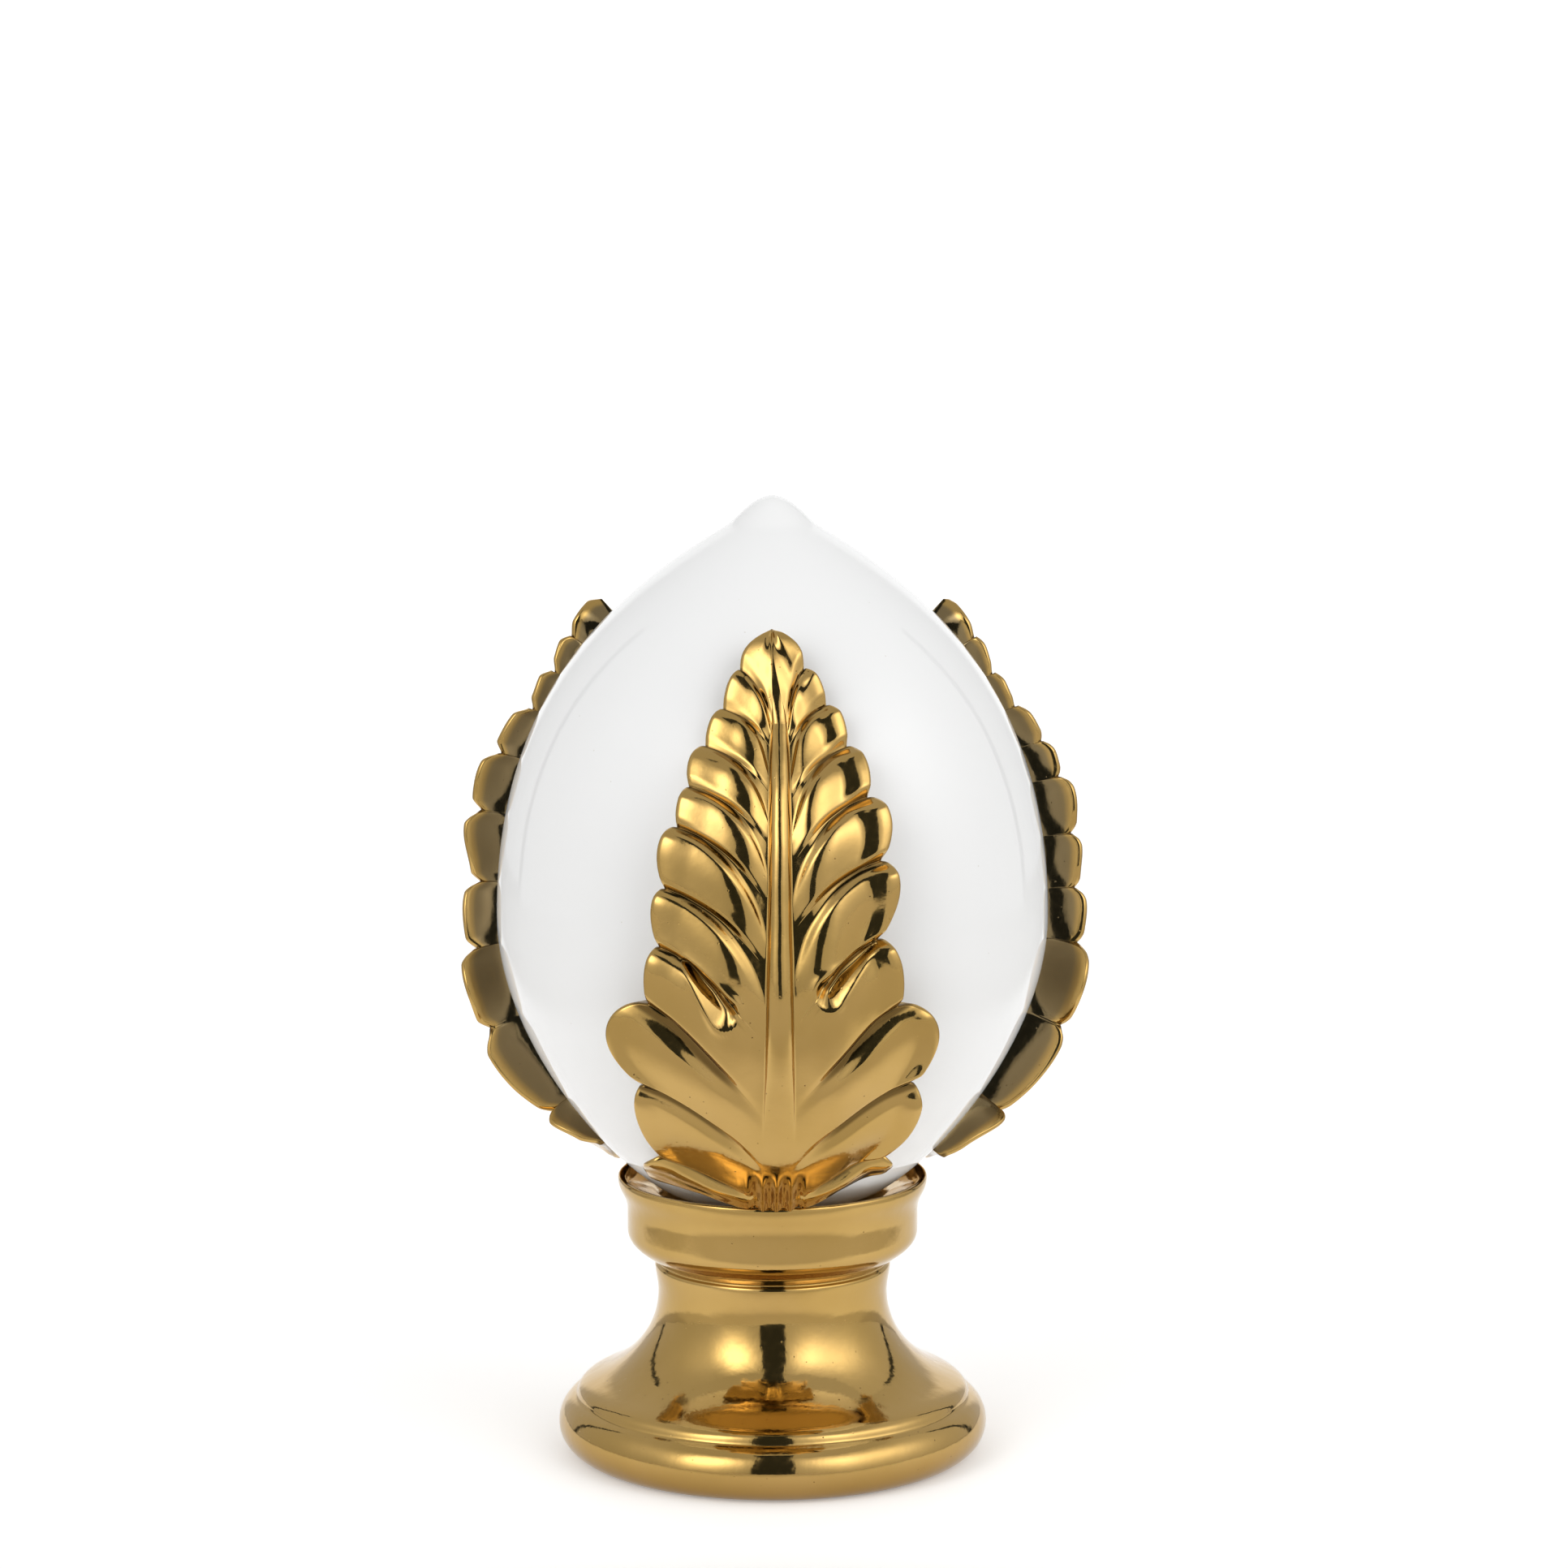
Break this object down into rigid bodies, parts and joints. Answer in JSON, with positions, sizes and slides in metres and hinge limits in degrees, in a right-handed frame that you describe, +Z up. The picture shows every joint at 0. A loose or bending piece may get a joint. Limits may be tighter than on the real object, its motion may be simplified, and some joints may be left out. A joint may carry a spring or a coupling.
{
  "type": "pumo finial",
  "caption": "Glossy white bud-shaped finial with raised gold acanthus leaves, seated in the cup of a turned gold pedestal with a round foot",
  "frame": {"origin": "middle of the flat underside of the foot, on the axis the pedestal and the bud are turned about", "axes": "+Z up along the turning axis, -Y towards the viewer through the front leaf, +X to the viewer's right"},
  "size_m": [0.1311, 0.1234, 0.2004],
  "materials": {
    "gold_pedestal": "mirror gold lustre over glaze",
    "gold_leaf": "mirror gold lustre over glaze, slightly softer than the pedestal",
    "white_glaze": "glossy white glaze"
  },
  "bodies": {
    "root": {"pedestal": "gold_pedestal", "bud": "white_glaze", "leaf_front": "gold_leaf", "leaf_right": "gold_leaf", "leaf_left": "gold_leaf"}
  },
  "joints": []
}
